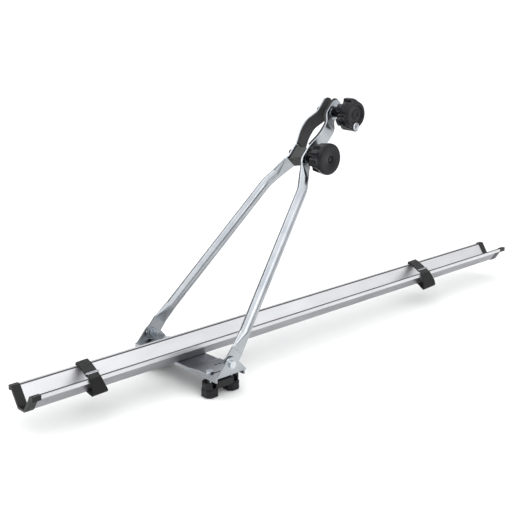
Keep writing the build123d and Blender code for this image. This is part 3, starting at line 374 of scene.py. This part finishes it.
# Stations of each loop, from the far lip over the trough and round the near side. Each
# holds the left and the right edge of the webbing, as places along, across and up in
# millimetres, the first counted from the middle of the strap.
LEFT_STATIONS = [
    ((-3.0, 36.2, 40.6), (20.6, 36.2, 41.4)),
    ((-8.2, 20.0, 40.4), (16.6, 20.0, 41.0)),
    ((-13.4, 2.0, 39.4), (11.2, 2.0, 39.8)),
    ((-21.0, -20.5, 38.8), (3.2, -20.5, 39.2)),
    ((-25.6, -33.0, 38.6), (-2.2, -33.6, 38.9)),
    ((-26.8, -36.6, 36.2), (-2.2, -37.4, 36.6)),
    ((-23.2, -37.6, 26.0), (1.6, -39.6, 26.0)),
    ((-21.6, -37.8, 15.0), (5.6, -41.0, 17.0)),
    ((-21.8, -36.4, 8.2), (7.0, -40.2, 11.6)),
    ((-18.6, -28.0, 5.4), (7.0, -30.0, 6.2)),
    ((-13.4, -9.0, 3.7), (10.6, -9.0, 3.7)),
    ((-9.0, 9.0, 3.7), (15.0, 9.0, 3.7)),
    ((-4.6, 26.0, 4.8), (18.6, 26.0, 4.8)),
    ((-3.0, 37.0, 12.0), (20.0, 37.0, 12.0)),
    ((-3.0, 38.8, 26.0), (20.2, 38.8, 27.0)),
    ((-3.0, 38.2, 37.4), (20.6, 38.2, 38.4)),
]
RIGHT_STATIONS = [
    ((6.4, 36.2, 40.8), (33.0, 36.2, 41.6)),
    ((-2.6, 20.0, 40.5), (24.4, 20.0, 41.0)),
    ((-13.4, 2.0, 39.5), (14.2, 2.0, 39.9)),
    ((-28.6, -20.5, 38.8), (-0.4, -20.5, 39.2)),
    ((-39.6, -33.0, 38.6), (-9.2, -33.6, 38.9)),
    ((-41.4, -36.8, 36.0), (-9.8, -37.4, 36.6)),
    ((-37.4, -38.6, 26.0), (-4.2, -40.2, 27.0)),
    ((-34.2, -39.6, 12.0), (1.8, -42.2, 16.0)),
    ((-32.0, -38.6, 1.6), (4.6, -42.0, 6.0)),
    ((-26.0, -28.0, 1.0), (4.8, -30.0, 2.0)),
    ((-14.6, -9.0, 3.4), (10.2, -9.0, 3.5)),
    ((-8.0, 9.0, 3.7), (17.4, 9.0, 3.7)),
    ((0.0, 26.0, 4.4), (25.0, 26.0, 4.4)),
    ((5.0, 37.0, 12.0), (30.4, 37.0, 12.0)),
    ((6.2, 38.8, 26.0), (31.8, 38.8, 27.0)),
    ((6.4, 38.2, 37.4), (32.8, 38.2, 38.4)),
]
WIRE_STATION = 3         # the buckle lies on this station
FOLD_LIFT = 2.1          # height of the folded end above the webbing under it
WIRE_RADIUS = 0.85
BUCKLE_REACH = 6.0       # from the station to the buckle's far bar
BUCKLE_AHEAD = 1.6       # from the station to its near bar, the other way
NEAR_BAR_INSET = 3.4     # left end of the near bar, in from the webbing's edge
NEAR_BAR_OUTSET = 0.6    # right end of the near bar, out from the webbing's edge
FAR_BAR_OUTSET = 0.4     # both ends of the far bar, out from the webbing's edges
NEAR_BAR_SINK = 0.8      # share of its full height at which the near bar lies
WIRE_BEND = 2.2          # from a corner of the wire to where its bend starts
BEND_HANDLES = (0.45, 1.6)           # ends of a bend's handles, as shares of that


def smooth_point(before, start, end, after, share):
    """A point on the smooth curve between start and end."""
    square, cube = share ** 2, share ** 3
    return 0.5 * (
        2 * start
        + (end - before) * share
        + (2 * before - 5 * start + 4 * end - after) * square
        + (3 * start - before - 3 * end + after) * cube
    )


def smooth_edges(stations, spans):
    """Pairs of edge points along the first spans between stations; all spans make a loop."""
    count = len(stations)
    pairs = []
    for i in range(spans):
        for step in range(STRAP_STEPS):
            pair = []
            for edge in (0, 1):
                around = [Vector(stations[(i + k) % count][edge]) for k in (-1, 0, 1, 2)]
                pair.append(smooth_point(*around, step / STRAP_STEPS))
            pairs.append(pair)
    return pairs


# The webbing's section: shares of its width and of its thickness, with raised selvedges
BAND_PROFILE = (
    (0.0, 0.0), (0.01, 0.32), (0.03, 0.5), (0.07, 0.42), (0.3, 0.46), (0.7, 0.46),
    (0.93, 0.42), (0.97, 0.5), (0.99, 0.32), (1.0, 0.0), (0.99, -0.32), (0.97, -0.5),
    (0.93, -0.42), (0.7, -0.46), (0.3, -0.46), (0.07, -0.42), (0.03, -0.5), (0.01, -0.32),
)


def band_mesh(name, pairs, x_place, closed, lift=0.0):
    """Webbing between two edge lines, with the section's raised selvedges."""
    mesh = bpy.data.meshes.new(name)
    build = bmesh.new()
    uv = build.loops.layers.uv.new("band")
    rings = []
    run = 0.0
    count = len(pairs)
    for i, (left, right) in enumerate(pairs):
        before = pairs[i - 1] if closed or i > 0 else pairs[i]
        after = pairs[(i + 1) % count] if closed or i < count - 1 else pairs[i]
        heading = (after[0] + after[1] - before[0] - before[1]).normalized()
        outward = (right - left).cross(heading).normalized()
        ring = []
        for across, deep in BAND_PROFILE:
            spot = left.lerp(right, across) + outward * (deep * STRAP_THICKNESS + lift)
            ring.append(build.verts.new(((x_place + spot.x) * MM, spot.y * MM, spot.z * MM)))
        rings.append((ring, run))
        run += ((after[0] + after[1]) / 2 - (left + right) / 2).length
    spans = list(zip(rings, rings[1:]))
    if closed:
        spans.append((rings[-1], (rings[0][0], run)))
    size = len(BAND_PROFILE)
    width = (pairs[0][1] - pairs[0][0]).length
    for (ring, start), (following, end) in spans:
        for j in range(size):
            k = (j + 1) % size
            face = build.faces.new((ring[j], ring[k], following[k], following[j]))
            face.smooth = True
            spots = (
                (start, BAND_PROFILE[j][0]),
                (start, BAND_PROFILE[k][0]),
                (end, BAND_PROFILE[k][0]),
                (end, BAND_PROFILE[j][0]),
            )
            for loop, (along, across) in zip(face.loops, spots):
                loop[uv].uv = (along, across * width)
    if not closed:
        for ring, _ in (rings[0], rings[-1]):
            build.faces.new(ring)
    bmesh.ops.recalc_face_normals(build, faces=build.faces)
    build.to_mesh(mesh)
    build.free()
    mesh.materials.append(WEBBING)
    made = bpy.data.objects.new(name, mesh)
    scene.collection.objects.link(made)
    return made


def wire_loop(name, corners):
    """A closed loop of round wire with small bends at its corners."""
    data = bpy.data.curves.new(name, "CURVE")
    data.dimensions = "3D"
    data.bevel_depth = WIRE_RADIUS * MM
    data.bevel_resolution = 6
    data.resolution_u = 8
    inner, outer = BEND_HANDLES
    knots = []
    for i, here in enumerate(corners):
        before = (corners[i - 1] - here).normalized() * WIRE_BEND
        after = (corners[(i + 1) % len(corners)] - here).normalized() * WIRE_BEND
        knots.append((here + before, here + before * outer, here + before * inner))
        knots.append((here + after, here + after * inner, here + after * outer))
    spline = data.splines.new("BEZIER")
    spline.bezier_points.add(len(knots) - 1)
    for knot, (place, left, right) in zip(spline.bezier_points, knots):
        knot.handle_left_type = "FREE"
        knot.handle_right_type = "FREE"
        knot.co = place * MM
        knot.handle_left = left * MM
        knot.handle_right = right * MM
    spline.use_cyclic_u = True
    data.materials.append(WIRE)
    made = bpy.data.objects.new(name, data)
    scene.collection.objects.link(made)
    return made


def make_strap(side, x_place, stations):
    """One wheel strap: its loop, the end folded back at the buckle, and the buckle."""
    body = f"{side}_wheel_strap"
    loop_pairs = smooth_edges(stations, len(stations))
    loop = band_mesh(f"{side}_webbing", loop_pairs, x_place, closed=True)
    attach(loop, body)
    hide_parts(f"{side}_strap")
    fold_pairs = smooth_edges(stations, WIRE_STATION)
    fold = band_mesh(f"{side}_webbing_end", fold_pairs, x_place, closed=False, lift=FOLD_LIFT)
    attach(fold, body)
    left, right = (Vector(edge) for edge in stations[WIRE_STATION])
    far_left, far_right = (Vector(edge) for edge in stations[WIRE_STATION - 1])
    along = ((far_left + far_right) - (left + right)).normalized()
    across = (right - left).normalized()
    place = Vector((x_place, 0, 0))
    on_top = Vector((0, 0, FOLD_LIFT + STRAP_THICKNESS / 2 + WIRE_RADIUS / 2))
    between = Vector((0, 0, FOLD_LIFT / 2))
    ahead = along * -BUCKLE_AHEAD
    frame_corners = [
        place + left + across * NEAR_BAR_INSET + ahead + on_top * NEAR_BAR_SINK,
        place + right + across * NEAR_BAR_OUTSET + ahead + on_top * NEAR_BAR_SINK,
        place + right + across * FAR_BAR_OUTSET + along * BUCKLE_REACH + between,
        place + left - across * FAR_BAR_OUTSET + along * BUCKLE_REACH + between,
    ]
    buckle = wire_loop(f"{side}_buckle_frame", frame_corners)
    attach(buckle, body)
    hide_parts(f"{side}_buckle")


LEFT_STRAP_PLACE = -213.0
RIGHT_STRAP_PLACE = 673.0
make_strap("left", LEFT_STRAP_PLACE, LEFT_STATIONS)
make_strap("right", RIGHT_STRAP_PLACE, RIGHT_STATIONS)


# Knobs and lock, turned about axes that lie across the carrier. Each piece is a list of rings,
# given by their distance from the middle of the carrier and their radius in millimetres.

TURN_STEPS = 192         # points round a knob
ROUND_STEPS = 6          # steps round a quarter of an edge
UPPER_AXIS = (358.31, 417.15)
LOWER_AXIS = (289.39, 340.60)
LOCK_AXIS = (358.31, 395.15)
KNOB_FACE = 72.0         # distance of the flat knob faces from the middle of the carrier
LOWER_HUB = 21.8         # where the hubs begin
UPPER_HUB = 16.8
FLUTES = (8, 9.0, 4.4)   # count, radius and depth of the grip hollows
LOBES = (6, 8.4, 7.6)
GRIP_SOFTNESS = 0.9      # how widely the edges of the hollows are rounded off
SLOT_ROUNDING = 0.15     # 0 is a rectangle, 0.5 an ellipse


def plain_rings(*spots):
    """Round rings, one for each distance and radius."""
    return [(distance, [radius] * TURN_STEPS) for distance, radius in spots]


def grip_ring(hollows, distance, radius, share=1.0):
    """A ring whose outline is hollowed evenly, to a share of the hollows' depth."""
    count, hollow_radius, depth = hollows
    centre = radius + hollow_radius - depth * share
    outline = []
    for step in range(TURN_STEPS):
        angle = math.tau * step / TURN_STEPS
        off = (angle * count / math.tau + 0.5) % 1 - 0.5
        off = off * math.tau / count
        aside = centre * math.sin(off)
        reach = radius + 4 * GRIP_SOFTNESS
        if abs(aside) < hollow_radius:
            reach = centre * math.cos(off) - math.sqrt(hollow_radius ** 2 - aside ** 2)
        gap = math.exp((radius - reach) / GRIP_SOFTNESS)
        outline.append(radius - GRIP_SOFTNESS * math.log(1 + gap))
    return distance, outline


def grip_rings(hollows, *spots):
    """Hollowed rings, one for each distance, radius and, where it isn't 1, share."""
    return [grip_ring(hollows, *spot) for spot in spots]


def slot_rings(*spots):
    """Rings with the outline of an upright slot, by distance, half width and half height."""
    power = 1 / SLOT_ROUNDING
    rings = []
    for distance, half_width, half_height in spots:
        outline = []
        for step in range(TURN_STEPS):
            angle = math.tau * step / TURN_STEPS
            across = abs(math.cos(angle)) / half_width
            upward = abs(math.sin(angle)) / half_height
            outline.append((across ** power + upward ** power) ** -SLOT_ROUNDING)
        rings.append((distance, outline))
    return rings


def rounded_rings(inner, outer, start, end):
    """Round rings that turn a quarter of an edge, from (start, outer) to (end, inner)."""
    spots = []
    for step in range(ROUND_STEPS + 1):
        turn = math.pi / 2 * step / ROUND_STEPS
        spots.append((
            start + (end - start) * math.sin(turn),
            inner + (outer - inner) * math.cos(turn),
        ))
    return plain_rings(*spots)


def turned_mesh(name, axis, rings, finish):
    """A closed skin through rings that lie across the carrier, the last one nearest."""
    mesh = bpy.data.meshes.new(name)
    build = bmesh.new()
    loops = []
    for distance, outline in rings:
        loop = []
        for step, radius in enumerate(outline):
            angle = math.tau * step / TURN_STEPS
            x = axis[0] + radius * math.cos(angle)
            z = axis[1] + radius * math.sin(angle)
            loop.append(build.verts.new((x * MM, -distance * MM, z * MM)))
        loops.append(loop)
    for loop, following in zip(loops, loops[1:]):
        for j in range(TURN_STEPS):
            k = (j + 1) % TURN_STEPS
            build.faces.new((loop[j], loop[k], following[k], following[j])).smooth = True
    for loop, (distance, _) in ((loops[0], rings[0]), (loops[-1], rings[-1])):
        middle = build.verts.new((axis[0] * MM, -distance * MM, axis[1] * MM))
        for j in range(TURN_STEPS):
            build.faces.new((loop[j], loop[(j + 1) % TURN_STEPS], middle)).smooth = True
    bmesh.ops.recalc_face_normals(build, faces=build.faces)
    build.to_mesh(mesh)
    build.free()
    mesh.materials.append(finish)
    made = bpy.data.objects.new(name, mesh)
    scene.collection.objects.link(made)
    return made


def add_knob_piece(name, node, body, axis, rings, finish):
    """A turned piece that rides on a body and stands for a CAD node, where one is named."""
    made = turned_mesh(name, axis, rings, finish)
    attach(made, body)
    if node:
        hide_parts(node)


def make_lower_knob():
    """Fluted skirt, smooth rim with a broad soft edge, and a sunk round centre."""
    rings = plain_rings(
        (LOWER_HUB, 13.0), (LOWER_HUB, 13.5), (36.6, 13.5), (37.6, 14.2), (38.0, 16.0),
    )
    rings += grip_rings(
        FLUTES,
        (38.0, 25.2), (38.4, 26.4), (39.4, 27.0), (50.0, 28.4), (58.0, 29.4),
        (60.0, 29.6, 0.86), (61.6, 29.8, 0.55), (62.6, 29.9, 0.2),
    )
    rings += plain_rings((63.2, 30.0), (67.2, 30.0))
    rings += rounded_rings(25.4, 30.0, 67.4, KNOB_FACE)
    rings += plain_rings(
        (KNOB_FACE, 24.8), (KNOB_FACE, 7.4), (71.8, 7.0), (71.2, 6.8), (67.4, 6.6),
        (67.2, 6.2), (67.2, 5.4), (70.0, 5.3),
    )
    rings += rounded_rings(1.2, 5.3, 70.2, 71.2)
    add_knob_piece(
        "lower_knob_moulding", "lower_knob", "lower_hand_knob",
        LOWER_AXIS, rings, KNOB_PLASTIC,
    )


def make_upper_knob():
    """Six deep lobes that run into a round raised rim, with the lock's boss below."""
    rings = plain_rings(
        (UPPER_HUB, 10.0), (UPPER_HUB, 10.5), (42.8, 10.5), (43.8, 11.2), (44.0, 13.0),
    )
    rings += grip_rings(
        LOBES,
        (44.0, 27.4), (44.5, 29.4), (45.8, 30.4), (57.0, 30.6), (60.0, 30.2),
        (62.6, 29.4, 0.85), (65.0, 28.4, 0.6), (67.0, 27.2, 0.3),
    )
    rings += plain_rings((68.4, 26.0))
    rings += rounded_rings(23.0, 25.4, 69.6, KNOB_FACE)
    rings += plain_rings(
        (KNOB_FACE, 22.6), (KNOB_FACE, 18.6), (71.8, 18.0), (71.2, 17.7), (69.2, 17.6),
        (69.0, 17.2), (69.0, 6.6), (68.8, 6.2), (66.0, 5.9), (66.0, 4.0),
    )
    add_knob_piece(
        "upper_knob_moulding", "upper_knob", "upper_hand_knob",
        UPPER_AXIS, rings, KNOB_PLASTIC,
    )
    boss = plain_rings((41.0, 8.6), (41.2, 9.2), (69.6, 9.6))
    boss += rounded_rings(8.4, 9.6, 71.0, 72.2)
    boss += plain_rings((72.2, 7.6), (71.4, 7.4), (69.4, 7.3))
    add_knob_piece(
        "upper_knob_boss", None, "upper_hand_knob",
        LOCK_AXIS, boss, KNOB_PLASTIC,
    )
    cover = plain_rings((69.0, 15.0), (69.0, 17.2))
    cover += rounded_rings(16.4, 17.2, 69.6, 70.6)
    cover += plain_rings(
        (70.6, 15.4), (70.0, 14.8), (69.8, 9.6), (70.4, 8.8), (71.0, 8.4),
        (71.2, 7.6), (71.0, 6.8), (69.6, 6.4),
    )
    add_knob_piece(
        "upper_knob_cover", "upper_knob_cap", "upper_hand_knob",
        UPPER_AXIS, cover, KNOB_PLASTIC,
    )


def make_lock():
    """A rounded chrome collar round the lock's disc, whose key slot is filled with a black insert
    as painted shade.
    """
    collar = plain_rings((69.0, 6.9), (69.0, 7.5), (71.8, 7.5))
    collar += rounded_rings(6.6, 7.5, 72.2, 73.0)
    collar += plain_rings((73.0, 6.5), (72.7, 6.25), (69.2, 6.2))
    add_knob_piece(
        "lock_collar", "lock_sleeve", "upper_hand_knob",
        LOCK_AXIS, collar, CHROME,
    )
    disc = plain_rings((69.7, 4.6), (70.0, 4.9), (71.6, 4.9))
    disc += rounded_rings(4.5, 4.9, 71.7, 72.1)
    disc += slot_rings((72.1, 1.6, 3.9), (71.9, 1.5, 3.8), (70.2, 1.4, 3.7))
    add_knob_piece(
        "lock_disc", "lock_barrel", "lock_core",
        LOCK_AXIS, disc, SCREW_ZINC,
    )
    # The key slot is a thin black insert: painted shade for the dark inside of the keyway
    slot = slot_rings((70.2, 1.3, 3.6), (71.9, 1.4, 3.7))
    add_knob_piece(
        "key_slot_shade_insert", None, "lock_core",
        LOCK_AXIS, slot, CAP_PLASTIC,
    )


make_lower_knob()
make_upper_knob()
make_lock()


# Rubber of the near jaw

RUBBER_OVERHANG = 1.0    # how far the moulded strip is widened on either side, in millimetres
JAW_ALONG = Vector((0.66913, 0.0, 0.74314))      # along the arms, 42 degrees from upright


def make_near_rubber():
    """The near jaw's strip: a copy of the CAD node, widened across the jaw."""
    node = frame["nodes"]["near_jaw_liner"]
    mesh = node.data.copy()
    mesh.name = "near_jaw_rubber"
    side = Vector((JAW_ALONG.z, 0.0, -JAW_ALONG.x))
    spots = [vertex.co.dot(side) for vertex in mesh.vertices]
    middle = (min(spots) + max(spots)) / 2
    half = (max(spots) - min(spots)) / 2
    widening = RUBBER_OVERHANG * MM / half
    for vertex in mesh.vertices:
        off = vertex.co.dot(side) - middle
        vertex.co += side * (off * widening)
    made = bpy.data.objects.new("near_jaw_rubber", mesh)
    made.matrix_world = node.matrix_world
    scene.collection.objects.link(made)
    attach(made, "near_arm")
    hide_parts("near_jaw_liner")


make_near_rubber()


# Floor, light and world

FLOOR_HALF = 60
FLOOR_DROP = 0.0005      # the floor lies this far under the lowest point of the carrier
CEILING_POWER = 2.4
CEILING_SPREAD = 110     # in degrees
CEILING_HEADING = (0.35, 0.25, -1)

# Name, place, point that it looks at, width and height, and power of each soft white light
LIGHTS = (
    ("key", (-0.7, -2.4, 2.2), (0.3, 0, 0.1), (1.8, 1.3), 14),
    ("side", (2.0, -2.2, 1.5), (0.1, 0, 0.1), (3.8, 1.7), 20),
    ("low", (2.1, 2.2, 1.2), (0.1, 0, 0.1), (2.4, 0.9), 4),
    ("back", (0.6, 2.6, 2.2), (0.3, 0, 0.2), (2.8, 1.0), 6),
    ("strip", (-0.55, 2.0, 2.1), (0.3, 0, 0.35), (1.5, 0.4), 5),
)


def make_floor():
    """A wide, plain, matt floor, out to the horizon."""
    material, _, shader, _ = new_material("pale_floor")
    shader.inputs["Base Color"].default_value = linear("#f4f4f3")
    shader.inputs["Roughness"].default_value = 0.9
    low, _ = cad_box
    level = low[2] - FLOOR_DROP
    mesh = bpy.data.meshes.new("floor")
    corners = ((-1, -1), (1, -1), (1, 1), (-1, 1))
    mesh.from_pydata(
        [(x * FLOOR_HALF, y * FLOOR_HALF, level) for x, y in corners],
        [],
        [(0, 1, 2, 3)],
    )
    mesh.materials.append(material)
    made = bpy.data.objects.new("floor", mesh)
    scene.collection.objects.link(made)


def add_light(data, heading):
    """Put a light into the scene so that it shines along a heading."""
    light = bpy.data.objects.new(data.name, data)
    light.rotation_euler = heading.to_track_quat("-Z", "Y").to_euler()
    scene.collection.objects.link(light)
    return light


def make_lights():
    """The soft lights, and a broad even one from above that keeps the whole floor pale."""
    for name, place, target, size, power in LIGHTS:
        data = bpy.data.lights.new(name, "AREA")
        data.shape = "RECTANGLE"
        data.size, data.size_y = size
        data.energy = power
        light = add_light(data, Vector(target) - Vector(place))
        light.location = place
    data = bpy.data.lights.new("ceiling", "SUN")
    data.energy = CEILING_POWER
    data.angle = math.radians(CEILING_SPREAD)
    add_light(data, Vector(CEILING_HEADING))


make_floor()
make_lights()

HORIZON_LIGHT = 0.14
OVERHEAD_LIGHT = 0.80
RIM_TOP = 0.07           # sine of the height up to which the far wall is as pale as the floor
RIM_FADE = 0.05          # height, as a sine, over which that pale rim fades out


def make_world():
    """A soft studio dome: bright overhead, dim lower down, with a pale rim at the horizon."""
    world = bpy.data.worlds.new("studio")
    world.use_nodes = True
    tree = world.node_tree
    background = tree.nodes["Background"]
    place = add_node(tree, "ShaderNodeTexCoord")
    split = add_node(tree, "ShaderNodeSeparateXYZ", {"Vector": place.outputs["Generated"]})
    dome = ramp(tree, split.outputs["Z"], HORIZON_LIGHT, OVERHEAD_LIGHT, 0.0, 1.0)
    rim = ramp(tree, split.outputs["Z"], 1.0, 0.0, RIM_TOP, RIM_TOP + RIM_FADE)
    tree.links.new(calculate(tree, "MAXIMUM", dome, rim), background.inputs["Strength"])
    background.inputs["Color"].default_value = linear("#f4f6f8")
    scene.world = world


make_world()
scene.view_settings.view_transform = "Standard"
